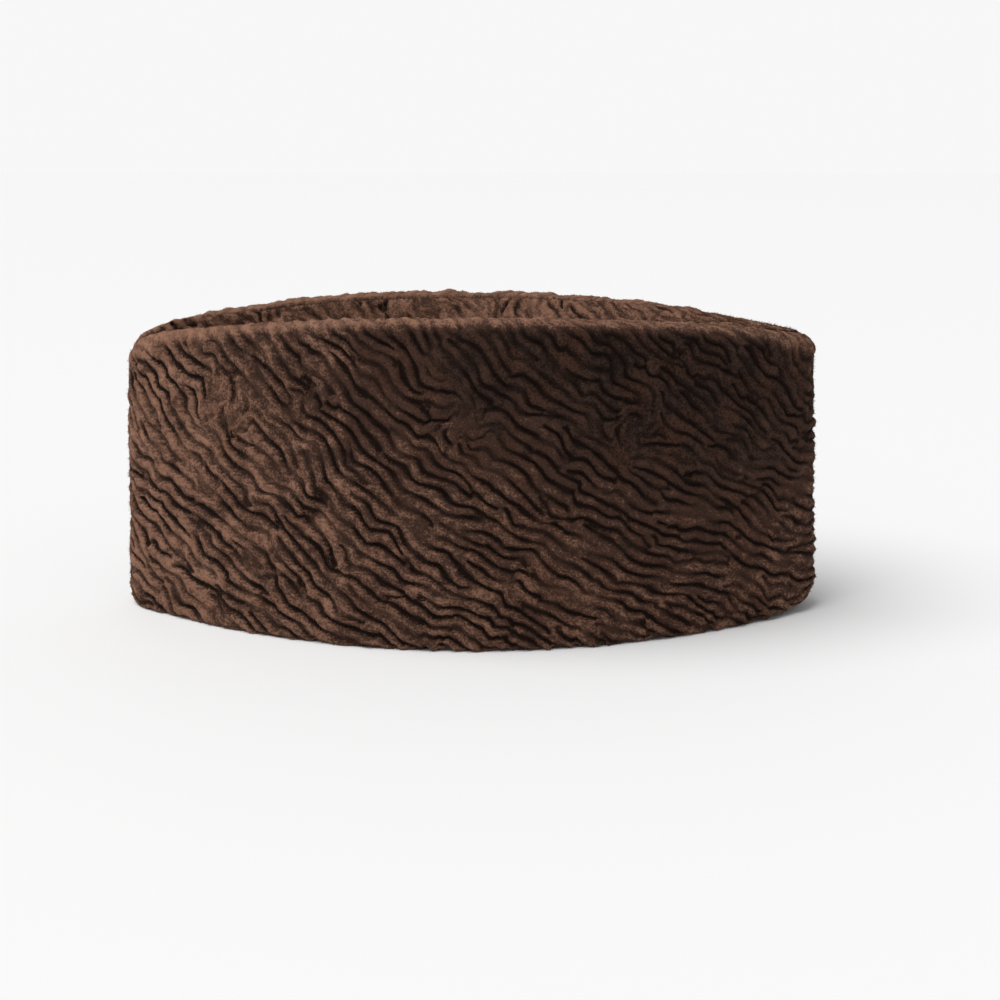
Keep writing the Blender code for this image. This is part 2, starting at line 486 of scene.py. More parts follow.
# The ridges as a wave, even in width, and how strong the grooves are at each place
def makeWave(sheet):
    user = sheet["user"]
    rng = np.random.default_rng(seedOf(user, "first field"))
    field = rng.standard_normal(sheet["along"].shape)
    ridges = makeBank(sheet, user["reachAlong"], user["reachAcross"], user["period"])
    curled = sheet["curls"].max() > 0
    if curled:
        curls = makeBank(sheet, user["curlAlong"], user["curlAcross"], user["curlPeriod"])
    for _ in range(user["rounds"]):
        answer = followFlow(sheet, ridges, field)
        if curled:
            answer += (followFlow(sheet, curls, field) - answer) * sheet["curls"]
        field = np.tanh(user["sharpen"] * answer.real)
    size = np.abs(answer) / np.median(np.abs(answer))
    wave = answer / np.maximum(np.abs(answer), tiny)

    downwards, sideways = np.gradient(wave, sheet["cell"])
    steep = np.hypot((np.conj(wave) * downwards).imag, (np.conj(wave) * sideways).imag)
    steep *= user["period"] / (2 * math.pi)
    phase = np.angle(wave)
    width = 1 + user["broadSpread"] * sheetNoise(sheet, user["broadGrooves"], "groove width")
    width = user["broadness"] * np.clip(width, user["narrowest"], None)
    steepness = np.clip(steep, user["widest"], user["tightest"])
    fromGroove = (math.pi - np.abs(phase)) / steepness / width
    fromGroove = np.clip(fromGroove, 0.0, math.pi)
    wave = np.exp(1j * np.sign(phase) * (math.pi - fromGroove))
    sheet["wave"] = softened(wave, sheet["cell"], user["softening"])

    drawn = makeBank(sheet, user["strokeAlong"], user["strokeAcross"], None)
    strokes = followFlow(sheet, drawn, sheetNoise(sheet, sheet["cell"], "strokes")).real
    strokes = user["strokeMean"] + user["strokeSpread"] * strokes
    sure = smoothStep(size / user["sureSize"]) * smoothStep(steep / user["widest"] - 1)
    strength = np.clip(strokes, user["strokeLeast"], 1.0) * sure
    sheet["strength"] = softened(strength, sheet["cell"], user["softening"]).real


def readSheet(sheet, layer, along, up):
    rows, columns = layer.shape
    column = np.clip((along - sheet["left"]) / sheet["cell"], 0, columns - 1)
    row = np.clip((up - sheet["bottom"]) / sheet["cell"], 0, rows - 1)
    left = np.minimum(column.astype(int), columns - 2)
    below = np.minimum(row.astype(int), rows - 2)
    h = column - left
    v = row - below
    low = layer[below, left] * (1 - h) + layer[below, left + 1] * h
    high = layer[below + 1, left] * (1 - h) + layer[below + 1, left + 1] * h
    return low * (1 - v) + high * v


def readNoise(sheet, width, name, along, up):
    return readSheet(sheet, sheetNoise(sheet, width, name), along, up)


# The pattern where it lies on a panel. The sheet is pulled a little this way and that, and swings
# from side to side along the ridges, which gives each its slight s shape.
def furAt(sheet, along, up):
    user = sheet["user"]
    turn = math.radians(-user["swingLean"])
    swing = (along * math.cos(turn) + up * math.sin(turn)) * 2 * math.pi / user["swingLength"]
    swing += user["swingJitter"] * readNoise(sheet, user["swingWidth"], "swing", along, up)
    aside = user["swing"] * np.sin(swing)
    warpX = user["warp"] * readNoise(sheet, user["warpWidth"], "warp along", along, up)
    warpY = user["warp"] * readNoise(sheet, user["warpWidth"], "warp up", along, up)
    pulledAlong = along + warpX - aside * math.sin(turn)
    pulledUp = up + warpY + aside * math.cos(turn)
    x, y = sheetPlace(user, pulledAlong, pulledUp)
    return {
        "wave": readSheet(sheet, sheet["wave"], x, y),
        "strength": readSheet(sheet, sheet["strength"], x, y),
        "flow": readSheet(sheet, np.exp(2j * sheet["flow"]), x, y),
        "lumps": readNoise(sheet, user["lumpWidth"], "lumps", along, up),
        "locks": readNoise(sheet, user["lockWidth"], "locks", along, up),
        "patches": readNoise(sheet, user["patchWidth"], "patches", along, up),
        "flecks": readNoise(sheet, user["fleckWidth"], "flecks", along, up),
        "rust": readNoise(sheet, user["rustWidth"], "rust", along, up),
    }


# The relief of the fur, from its wave, in metres

reliefUser = {
    "roll": 0.00036,            # half the height of a ridge's own rounding
    "rollLeast": 0.35,          # of that height where there is no groove
    "groove": 0.00092,
    "grooveWidth": 0.80,        # radians of the wave
    "lumps": 0.00028,
    "locks": 0.00009,
    "lift": -0.00020,           # of the fur as a whole, against the cad surface
    "rimBulge": 0.0012,         # the pile stands up on the fold of the rim
    "rimPlace": 0.0072,         # from the crown seam back to the middle of that fold
    "rimReach": 0.0032,
    "rimEnd": 0.030,            # the bulge grows over this length from each end
    "seamTuck": 0.0004,
    "seamReach": 0.0020,
}


def grooveShare(fur):
    fromGroove = math.pi - np.abs(np.angle(fur["wave"]))
    return np.exp(-((fromGroove / reliefUser["grooveWidth"]) ** 2)) * fur["strength"]


def reliefHeight(fur):
    user = reliefUser
    least = user["rollLeast"]
    roll = np.cos(np.angle(fur["wave"])) * (least + (1 - least) * fur["strength"])
    soft = user["lift"] + user["lumps"] * fur["lumps"] + user["locks"] * fur["locks"]
    return soft + user["roll"] * roll - user["groove"] * grooveShare(fur)


def tuckedIn(height, fromSeam):
    tuck = 1 - smoothStep(fromSeam / reliefUser["seamReach"])
    return height * (1 - tuck) - reliefUser["seamTuck"] * tuck**2


# Shader node groups

def addNode(tree, kind, place, values=None, **settings):
    node = tree.nodes.new(kind)
    node.location = place
    for name, value in settings.items():
        setattr(node, name, value)
    for socket, value in (values or {}).items():
        node.inputs[socket].default_value = value
    return node


def newGroup(name, inputs, outputs):
    tree = bpy.data.node_groups.new(name, "ShaderNodeTree")
    addSocket = tree.interface.new_socket
    for socketName, value in inputs.items():
        socket = addSocket(name=socketName, in_out="INPUT", socket_type="NodeSocketFloat")
        socket.default_value = value
    for socketName in outputs:
        addSocket(name=socketName, in_out="OUTPUT", socket_type="NodeSocketFloat")
    return tree


# The crisp dark line of painted shade along the bottom of each groove, and the crest between
# grooves, as masks from the wave that the mesh carries. Edge and core are where on the wave the
# line starts and is full.
def makeGrooveGroup():
    inputs = {"Nap": 0.5, "Raggedness": 0.5, "Edge": 0.05, "Core": -0.85}
    tree = newGroup("furGrooves", inputs, ["Groove", "Crest"])
    start = addNode(tree, "NodeGroupInput", (-900, 0))
    end = addNode(tree, "NodeGroupOutput", (700, 0))
    wave = addNode(tree, "ShaderNodeAttribute", (-900, 300), attribute_name="furWave")
    split = addNode(tree, "ShaderNodeSeparateXYZ", (-700, 300))
    flat = addNode(tree, "ShaderNodeCombineXYZ", (-520, 420))
    size = addNode(tree, "ShaderNodeVectorMath", (-340, 420), operation="LENGTH")
    ratio = addNode(tree, "ShaderNodeMath", (-160, 300), operation="DIVIDE")
    centred = addNode(tree, "ShaderNodeMath", (-700, -60), {1: 0.5}, operation="SUBTRACT")
    ragged = addNode(tree, "ShaderNodeMath", (-520, -60), operation="MULTIPLY")
    broken = addNode(tree, "ShaderNodeMath", (0, 200), operation="ADD")
    depth = addNode(tree, "ShaderNodeMapRange", (180, 200), interpolation_type="SMOOTHSTEP")
    groove = addNode(tree, "ShaderNodeMath", (400, 200), operation="MULTIPLY", use_clamp=True)
    crest = addNode(tree, "ShaderNodeMapRange", (180, -140))
    link = tree.links.new
    link(wave.outputs["Vector"], split.inputs[0])
    link(split.outputs[0], flat.inputs[0])
    link(split.outputs[1], flat.inputs[1])
    link(flat.outputs[0], size.inputs[0])
    link(split.outputs[0], ratio.inputs[0])
    link(size.outputs["Value"], ratio.inputs[1])
    link(start.outputs["Nap"], centred.inputs[0])
    link(centred.outputs[0], ragged.inputs[0])
    link(start.outputs["Raggedness"], ragged.inputs[1])
    link(ratio.outputs[0], broken.inputs[0])
    link(ragged.outputs[0], broken.inputs[1])
    link(broken.outputs[0], depth.inputs["Value"])
    link(start.outputs["Edge"], depth.inputs["From Min"])
    link(start.outputs["Core"], depth.inputs["From Max"])
    link(depth.outputs[0], groove.inputs[0])
    link(split.outputs[2], groove.inputs[1])
    link(broken.outputs[0], crest.inputs["Value"])
    link(groove.outputs[0], end.inputs["Groove"])
    link(crest.outputs[0], end.inputs["Crest"])
    return tree


# The mottle of locks and hairs, drawn out along the ridges: two patterns and a height for bump
def makeNapGroup():
    inputs = {"Lock Size": 500.0, "Hair Size": 1500.0, "Streaks": 0.8, "Hair Height": 0.5}
    tree = newGroup("furNap", inputs, ["Locks", "Hairs", "Height"])
    contrast = {1: 0.30, 2: 0.70}
    coarse = {"Scale": 1.0, "Detail": 2.0, "Roughness": 0.6}
    fine = {"Detail": 1.0, "Roughness": 0.6}
    waveOnly = {1: (1.0, 1.0, 0.0)}
    start = addNode(tree, "NodeGroupInput", (-1300, 0))
    end = addNode(tree, "NodeGroupOutput", (500, 0))
    place = addNode(tree, "ShaderNodeTexCoord", (-1300, 300))
    wave = addNode(tree, "ShaderNodeAttribute", (-1300, -240), attribute_name="furWave")
    flat = addNode(tree, "ShaderNodeVectorMath", (-1100, -240), waveOnly, operation="MULTIPLY")
    unit = addNode(tree, "ShaderNodeVectorMath", (-940, -240), operation="NORMALIZE")
    drawn = addNode(tree, "ShaderNodeVectorMath", (-780, -240), operation="SCALE")
    spread = addNode(tree, "ShaderNodeVectorMath", (-780, 240), operation="SCALE")
    stretched = addNode(tree, "ShaderNodeVectorMath", (-600, 60), operation="ADD")
    locks = addNode(tree, "ShaderNodeTexNoise", (-420, 200), coarse)
    hairs = addNode(tree, "ShaderNodeTexNoise", (-420, -60), fine)
    sharper = addNode(tree, "ShaderNodeMapRange", (-160, 200), contrast)
    finer = addNode(tree, "ShaderNodeMapRange", (-160, -60), contrast)
    height = addNode(tree, "ShaderNodeMath", (160, 40), operation="MULTIPLY_ADD")
    link = tree.links.new
    link(wave.outputs["Vector"], flat.inputs[0])
    link(flat.outputs[0], unit.inputs[0])
    link(unit.outputs[0], drawn.inputs[0])
    link(start.outputs["Streaks"], drawn.inputs["Scale"])
    link(place.outputs["Object"], spread.inputs[0])
    link(start.outputs["Lock Size"], spread.inputs["Scale"])
    link(spread.outputs[0], stretched.inputs[0])
    link(drawn.outputs[0], stretched.inputs[1])
    link(stretched.outputs[0], locks.inputs["Vector"])
    link(place.outputs["Object"], hairs.inputs["Vector"])
    link(start.outputs["Hair Size"], hairs.inputs["Scale"])
    link(locks.outputs["Fac"], sharper.inputs["Value"])
    link(hairs.outputs["Fac"], finer.inputs["Value"])
    link(finer.outputs[0], height.inputs[0])
    link(start.outputs["Hair Height"], height.inputs[1])
    link(sharper.outputs[0], height.inputs[2])
    link(sharper.outputs[0], end.inputs["Locks"])
    link(finer.outputs[0], end.inputs["Hairs"])
    link(height.outputs[0], end.inputs["Height"])
    return tree


# Fur material, the same for the four panels apart from its name

furUser = {
    "dark": (0.0120, 0.0072, 0.0058, 1.0),
    "middle": (0.057, 0.0287, 0.0200, 1.0),
    "light": (0.30, 0.157, 0.102, 1.0),
    # painted shade: the grooves' near-black colour stands for the shade that falls into them
    "groove": (0.010, 0.0042, 0.0026, 1.0),
    "rust": (0.105, 0.040, 0.020, 1.0),
    "suede": (0.20, 0.125, 0.080, 1.0),
    "roughness": 0.85,
    "specular": 0.12,
    "sheen": 0.06,
    "sheenRoughness": 0.5,
    "sheenTint": (0.55, 0.36, 0.25, 1.0),
    "lockSize": 620.0,          # higher is finer
    "hairSize": 1400.0,
    "streaks": 0.9,
    "lockContrast": 0.30,
    "hairContrast": 0.20,
    # painted highlight: the crests of the ridges are made lighter, as if lit from above
    "crestPaintedHighlight": 0.12,
    "bumpStrength": 0.5,
    "bumpHeight": 0.0004,
}


def makeFurMaterial(name, user, grooves, nap):
    material = bpy.data.materials.new(name)
    material.use_nodes = True
    tree = material.node_tree
    shader = tree.nodes["Principled BSDF"]
    shader.location = (1300, 0)
    shader.inputs["Roughness"].default_value = user["roughness"]
    shader.inputs["Specular IOR Level"].default_value = user["specular"]
    shader.inputs["Sheen Weight"].default_value = user["sheen"]
    shader.inputs["Sheen Roughness"].default_value = user["sheenRoughness"]
    shader.inputs["Sheen Tint"].default_value = user["sheenTint"]
    napSizes = {
        "Lock Size": user["lockSize"],
        "Hair Size": user["hairSize"],
        "Streaks": user["streaks"],
    }
    bumpSizes = {"Strength": user["bumpStrength"], "Distance": user["bumpHeight"]}
    napped = addNode(tree, "ShaderNodeGroup", (-900, -200), node_tree=nap)
    for socket, value in napSizes.items():
        napped.inputs[socket].default_value = value
    grooved = addNode(tree, "ShaderNodeGroup", (-640, 100), node_tree=grooves)
    tone = addNode(tree, "ShaderNodeAttribute", (-900, 400), attribute_name="furTone")
    parts = addNode(tree, "ShaderNodeSeparateXYZ", (-700, 400))
    mottle = addNode(tree, "ShaderNodeMath", (-420, -260), {1: 0.5}, operation="SUBTRACT")
    speckle = addNode(tree, "ShaderNodeMath", (-420, -440), {1: 0.5}, operation="SUBTRACT")
    locked = addNode(
        tree, "ShaderNodeMath", (-240, -160), {1: user["lockContrast"]}, operation="MULTIPLY_ADD"
    )
    flecked = addNode(
        tree, "ShaderNodeMath", (-240, -340), {1: user["hairContrast"]}, operation="MULTIPLY_ADD"
    )
    # painted highlight added to the tone on the ridge crests
    toned = addNode(
        tree, "ShaderNodeMath", (-80, -240), {1: user["crestPaintedHighlight"]}, operation="MULTIPLY_ADD"
    )
    ramp = addNode(tree, "ShaderNodeValToRGB", (-20, 300))
    ramp.color_ramp.interpolation = "EASE"
    ramp.color_ramp.elements[0].color = user["dark"]
    ramp.color_ramp.elements[1].color = user["light"]
    middle = ramp.color_ramp.elements.new(0.5)
    middle.color = user["middle"]
    rusty = addNode(tree, "ShaderNodeMath", (-20, -60), operation="MULTIPLY", use_clamp=True)
    rusted = addNode(tree, "ShaderNodeMix", (320, 240), data_type="RGBA")
    rusted.inputs["B"].default_value = user["rust"]
    # painted shade: the grooves, and the hairs rooted in them, are mixed to near-black
    shadedGrooves = addNode(tree, "ShaderNodeMix", (600, 200), data_type="RGBA")
    shadedGrooves.inputs["B"].default_value = user["groove"]
    lined = addNode(tree, "ShaderNodeMix", (900, 140), data_type="RGBA")
    lined.inputs["B"].default_value = user["suede"]
    bump = addNode(tree, "ShaderNodeBump", (900, -300), bumpSizes)
    link = tree.links.new
    link(napped.outputs["Hairs"], grooved.inputs["Nap"])
    link(tone.outputs["Vector"], parts.inputs[0])
    link(napped.outputs["Locks"], mottle.inputs[0])
    link(napped.outputs["Hairs"], speckle.inputs[0])
    link(mottle.outputs[0], locked.inputs[0])
    link(parts.outputs[0], locked.inputs[2])
    link(speckle.outputs[0], flecked.inputs[0])
    link(locked.outputs[0], flecked.inputs[2])
    link(grooved.outputs["Crest"], toned.inputs[0])
    link(flecked.outputs[0], toned.inputs[2])
    link(toned.outputs[0], ramp.inputs["Fac"])
    link(parts.outputs[1], rusty.inputs[0])
    link(napped.outputs["Hairs"], rusty.inputs[1])
    link(ramp.outputs["Color"], rusted.inputs["A"])
    link(rusty.outputs[0], rusted.inputs["Factor"])
    link(rusted.outputs["Result"], shadedGrooves.inputs["A"])
    link(grooved.outputs["Groove"], shadedGrooves.inputs["Factor"])
    link(shadedGrooves.outputs["Result"], lined.inputs["A"])
    link(parts.outputs[2], lined.inputs["Factor"])
    link(lined.outputs["Result"], shader.inputs["Base Color"])
    link(napped.outputs["Height"], bump.inputs["Height"])
    link(bump.outputs["Normal"], shader.inputs["Normal"])
    return material


grooveGroup = makeGrooveGroup()
napGroup = makeNapGroup()
print("fur groups made")


# Turning rings of points into a closed panel

# A grid primitive laid on the rings
def layGrid(name, rings):
    stations, rows = rings.shape[:2]
    bpy.ops.object.select_all(action="DESELECT")
    bpy.ops.mesh.primitive_grid_add(x_subdivisions=stations - 1, y_subdivisions=rows - 1)
    panel = bpy.context.object
    panel.name = name
    panel.data.name = name
    points = np.swapaxes(rings, 0, 1).reshape(-1, 3)
    panel.data.vertices.foreach_set("co", points.astype(np.float32).ravel())
    panel.data.update()
    return panel


# Merges the first and last rows and fills the two ends
def closeRings(panel, stations):
    picked = np.zeros(len(panel.data.vertices), bool)
    picked[:stations] = True
    picked[-stations:] = True
    selectPoints(panel, picked)
    bpy.ops.object.mode_set(mode="EDIT")
    bpy.ops.mesh.remove_doubles(threshold=reading["mergeWithin"])
    bpy.ops.mesh.select_all(action="DESELECT")
    bpy.ops.mesh.select_non_manifold(extend=False)
    bpy.ops.mesh.fill_holes(sides=0)
    bpy.ops.mesh.select_all(action="SELECT")
    bpy.ops.mesh.normals_make_consistent(inside=False)
    bpy.ops.object.mode_set(mode="OBJECT")
    panel.data.shade_smooth()


def selectPoints(panel, picked):
    bpy.context.view_layer.objects.active = panel
    bpy.ops.object.mode_set(mode="EDIT")
    bpy.ops.mesh.select_mode(type="VERT")
    bpy.ops.mesh.select_all(action="DESELECT")
    bpy.ops.object.mode_set(mode="OBJECT")
    panel.data.vertices.foreach_set("select", picked)
    for edge in panel.data.edges:
        edge.select = bool(picked[edge.vertices[0]] and picked[edge.vertices[1]])


def gridNormals(grid, side):
    across = np.gradient(grid, axis=0)
    up = np.gradient(grid, axis=1)
    normals = np.cross(across, up) * side
    return normals / np.maximum(np.linalg.norm(normals, axis=2)[:, :, None], tiny)


def storeVectors(mesh, name, values):
    layer = mesh.attributes.new(name, "FLOAT_VECTOR", "POINT")
    layer.data.foreach_set("vector", values.astype(np.float32).ravel())


# Raises the relief on the rings' outer rows and makes one closed piece of them
def makePanel(name, rings, side, fur, height, tone, rust):
    outerRows = height.shape[1]
    normals = gridNormals(rings[:, :outerRows], side)
    rings[:, :outerRows] += normals * height[:, :, None]
    rings[:, :, 2] = np.maximum(rings[:, :, 2], 0.0)
    rings[:, -1] = rings[:, 0]
    panel = layGrid(name, rings)
    # the inner face has no grooves, and its suede starts a row in from each edge
    waves = np.zeros(rings.shape)
    waves[:, :, 0] = 1.0
    waves[:, :outerRows, 0] = fur["wave"].real
    waves[:, :outerRows, 1] = fur["wave"].imag
    waves[:, :outerRows, 2] = fur["strength"]
    storeVectors(panel.data, "furWave", np.swapaxes(waves, 0, 1))
    tones = np.zeros(rings.shape)
    tones[:, :outerRows, 0] = tone
    tones[:, :outerRows, 1] = rust
    tones[:, outerRows + 1 : -2, 2] = 1.0
    storeVectors(panel.data, "furTone", np.swapaxes(tones, 0, 1))
    closeRings(panel, len(rings))
    return panel, tones[:, :outerRows], waves[:, :outerRows]


# Short hairs over the panels, which soften the ridges and the outline

hairUser = {
    "length": 0.0014,
    "shortest": 0.6,            # share of that length
    "longest": 1.3,
    "width": 0.00011,           # half of it, at the root
    "flatness": 0.6,
    "lift": 0.50,               # radians off the skin
    "liftSpread": 0.6,          # share of the lift, either way
    "turn": 0.45,               # radians either side of the flow
    "rimTurn": 1.1,
    "rimLength": 0.7,
    "sink": 0.00015,
    "toneSpread": 0.08,
    "rustLess": 0.3,
    "rustMore": 0.3,
}


# Points and faces of a three-sided spike, one unit long and one unit in radius
def oneHair():
    bpy.ops.object.select_all(action="DESELECT")
    bpy.ops.mesh.primitive_cone_add(
        vertices=3, radius1=1.0, radius2=0.0, depth=1.0, location=(0, 0, 0)
    )
    spike = bpy.context.object
    points = np.array([tuple(v.co) for v in spike.data.vertices]) + (0, 0, 0.5)
    faces = np.array([tuple(f.vertices) for f in spike.data.polygons])
    bpy.data.objects.remove(spike, do_unlink=True)
    return points, faces


# A layer of values on a grid, read between its points
def betweenPoints(layer, column, row):
    left = column.astype(int)
    below = row.astype(int)
    thin = [1] * (layer.ndim - 2)
    h = (column - left).reshape(-1, *thin)
    v = (row - below).reshape(-1, *thin)
    near = layer[left, below] * (1 - h) + layer[left + 1, below] * h
    far = layer[left, below + 1] * (1 - h) + layer[left + 1, below + 1] * h
    return near * (1 - v) + far * v


def unitRows(vectors):
    return vectors / np.linalg.norm(vectors, axis=1)[:, None]


# Hairs rooted over a panel's outer face: fewer where bare is high, and wilder where rim is
def addHairs(name, skin, side, flow, bare, rim, tones, waves, count, seed):
    user = hairUser
    rng = np.random.default_rng(seed)
    across = np.gradient(skin, axis=0)
    up = np.gradient(skin, axis=1)
    area = np.linalg.norm(np.cross(across, up), axis=2)[:-1, :-1] * (1 - bare[:-1, :-1])
    odds = np.cumsum(area.ravel())
    picked = np.searchsorted(odds, rng.random(count) * odds[-1])
    column = picked // area.shape[1] + rng.random(count)
    row = picked % area.shape[1] + rng.random(count)
    root = betweenPoints(skin, column, row)
    normal = unitRows(betweenPoints(gridNormals(skin, side), column, row))
    shade = betweenPoints(tones, column, row)
    onRim = betweenPoints(rim, column, row)

    # each hair lies along the flow, turned a little and lifted off the skin
    turn = user["turn"] + (user["rimTurn"] - user["turn"]) * onRim
    angle = 0.5 * np.angle(betweenPoints(flow, column, row)) + turn * rng.standard_normal(count)
    alongSkin = betweenPoints(across, column, row)
    alongSkin = unitRows(alongSkin - normal * (alongSkin * normal).sum(1)[:, None])
    upSkin = np.cross(normal, alongSkin)
    upSkin *= np.sign((upSkin * betweenPoints(up, column, row)).sum(1))[:, None]
    lie = alongSkin * np.cos(angle)[:, None] + upSkin * np.sin(angle)[:, None]
    lift = user["lift"] * (1 + user["liftSpread"] * rng.uniform(-1, 1, count))[:, None]
    axis = lie * np.cos(lift) + normal * np.sin(lift)
    wide = unitRows(np.cross(axis, normal))
    deep = np.cross(axis, wide)
    length = user["length"] * rng.uniform(user["shortest"], user["longest"], count)
    length *= 1 - (1 - user["rimLength"]) * onRim
    points, faces = oneHair()
    root = root - normal * user["sink"]
    corners = []
    for x, y, z in points:
        out = wide * (x * user["width"]) + deep * (y * user["width"] * user["flatness"])
        corners.append(root + out + axis * (z * length[:, None]))
    corners = np.stack(corners, 1).reshape(-1, 3)
    corners[:, 2] = np.maximum(corners[:, 2], 0.0)
    first = np.arange(count)[:, None, None] * len(points)
    mesh = bpy.data.meshes.new(name)
    mesh.from_pydata(corners.tolist(), [], (faces[None] + first).reshape(-1, 3).tolist())
    mesh.update()
    hairs = bpy.data.objects.new(name, mesh)
    bpy.context.scene.collection.objects.link(hairs)

    shade[:, 0] += user["toneSpread"] * rng.standard_normal(count)
    shade[:, 1] += rng.uniform(-user["rustLess"], user["rustMore"], count)
    storeVectors(mesh, "furTone", np.repeat(shade, len(points), 0))
    rooted = betweenPoints(waves, column, row)
    storeVectors(mesh, "furWave", np.repeat(rooted, len(points), 0))
    return hairs


# The panel and its hairs take one material, ride on the cap and stand for the cad panel
def dressPanel(panel, hairs, nodeName, slotName):
    material = makeFurMaterial(slotName + "Look", furUser, grooveGroup, napGroup)
    for piece in (panel, hairs):
        piece.data.materials.append(material)
        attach(piece, bodyName)
        print(piece.name, "made,", len(piece.data.polygons), "faces")
    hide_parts(nodeName)


# Side panels

sideUser = {
    "hairs": 45000,
    "grooveBare": 0.8,          # share of the hairs that the grooves go without
    "cell": 0.00065,            # between stations along the panel
    "outerRows": 186,           # round the fur's face, from the hem to the crown seam
    "innerRows": 20,            # round the inside, which is smooth
    "innerStart": 0.07,         # share of the wall that the inside leaves free at the hem
    "hemLift": 0.0030,          # of the hem at the back end
    "hemLiftReach": 0.035,
    "hemLiftDepth": 0.014,
    "hemLumps": 0.0006,         # how far the edge of the hem is uneven
    "hemLumpWidth": 0.0035,
    "hemEase": 0.0025,          # over which the ridges fade out at the hem
    "hemBare": 0.004,           # hairs thin out below this height
    "rimUneven": 0.15,          # share of the rim's bulge that its patches add or take
    "rimStart": 0.0068,         # from the crown seam over the rim to the first ridges
    "rimEase": 0.0042,
    "rimRidges": 0.25,          # share of the grooves that stays on the rim
    "toneMean": 0.57,
    # painted light: the rim's fold is set lighter than the wall, for the light that falls on its
    # upward face
    "rimPaintedLightTone": 0.77,
    "rimSlope": 0.09,           # lighter at the front end, darker at the back by this
    "patchTone": 0.05,
    "fleckTone": 0.03,
    "rustMean": 0.16,
    "rustSpread": 0.12,
    "sheetCell": 0.5,           # from here on in millimetres and degrees
    "sheetMargin": 10.0,
    "fineness": 0.97,
    "finerBack": 0.0009,
    "period": 4.2,              # from ridge to ridge
    "reachAlong": 6.5,          # of the filters that draw the ridges
    "reachAcross": 2.5,
    "rounds": 7,                # how often they are run
    "sharpen": 1.6,             # how firmly each run settles into ridges
    "curlPeriod": 4.0,          # the same in the whorls
    "curlAlong": 3.4,
    "curlAcross": 2.0,
    "widest": 0.3,              # least steepness of the wave, as a share of the usual
    "tightest": 1.8,            # and the greatest
    "broadness": 1.12,          # of the grooves
    "broadSpread": 0.18,
    "broadGrooves": 6.0,
    "narrowest": 0.65,
    "sureSize": 0.22,           # grooves fade where the filters answer less than this
    "softening": 0.8,           # what is finer than this goes
    "strokeMean": 0.84,         # strength of the grooves
    "strokeSpread": 0.36,       # from one stroke to another
    "strokeLeast": 0.08,
    "strokeAlong": 4.3,
    "strokeAcross": 1.4,
    "leanLow": 29.0,            # of the ridges down towards the back, at the hem
    "leanHigh": 39.0,           # and at the rim
    "leanFront": -8.0,          # added at the front end
    "frontReach": 38.0,
    "leanBack": -9.0,           # added low down at the back end
    "backReach": 100.0,
    "broadTurn": 6.0,           # how far the lean wanders, in broad and in fine patches
    "broadWidth": 22.0,
    "fineTurn": 8.5,
    "fineWidth": 9.5,
    "warp": 0.35,               # how far the pattern is pulled about
    "warpWidth": 12.0,
    "swing": 0.7,               # how far a ridge swings to either side
    "swingLength": 19.0,
    "swingLean": 40.0,
    "swingJitter": 1.1,
    "swingWidth": 22.0,
    "whorlEdge": 3,             # higher for a whorl that ends more sharply
    "whorlTurn": 70.0,          # from a whorl's spokes to its ridges: 90 makes circles
    "whorlWobble": 34.0,
    "whorlGrain": 8.0,
    "lumpWidth": 7.0,
    "lockWidth": 1.3,
    "patchWidth": 10.0,
    "fleckWidth": 4.0,
    "rustWidth": 14.0,
}

# whorls: along, up, radius and strength. tones: along, up, reach along, reach up and change
leftSideUser = dict(
    sideUser,
    seed=9,
    whorls=(
        (-88.0, 83.0, 11.0, 0.9),
        (-57.0, 87.0, 7.0, 0.6),
        (-1.5, 81.0, 11.0, 0.9),
        (61.0, 77.0, 12.0, 0.9),
    ),
    # On this panel the tone patches darken the upper middle and upper right of the wall and lighten
    # its front end: partly the fur's own colour, partly painted shade and light for how the light
    # falls off across and up the wall
    tones=(
        (-135.0, 50.0, 65.0, 90.0, 0.17),
        (10.0, 112.0, 60.0, 38.0, -0.31),
        (85.0, 92.0, 62.0, 40.0, -0.34),
        (85.0, 50.0, 70.0, 36.0, -0.09),
        (108.0, 96.0, 34.0, 36.0, -0.16),
    ),
)
rightSideUser = dict(
    sideUser,
    seed=31,
    rimUneven=0.35,
    rimPaintedLightTone=0.81,
    whorls=((-70.0, 60.0, 12.0, 0.8), (10.0, 84.0, 10.0, 0.8), (80.0, 70.0, 12.0, 0.9)),
    tones=((-60.0, 60.0, 50.0, 35.0, -0.08), (70.0, 70.0, 50.0, 35.0, 0.06)),
)


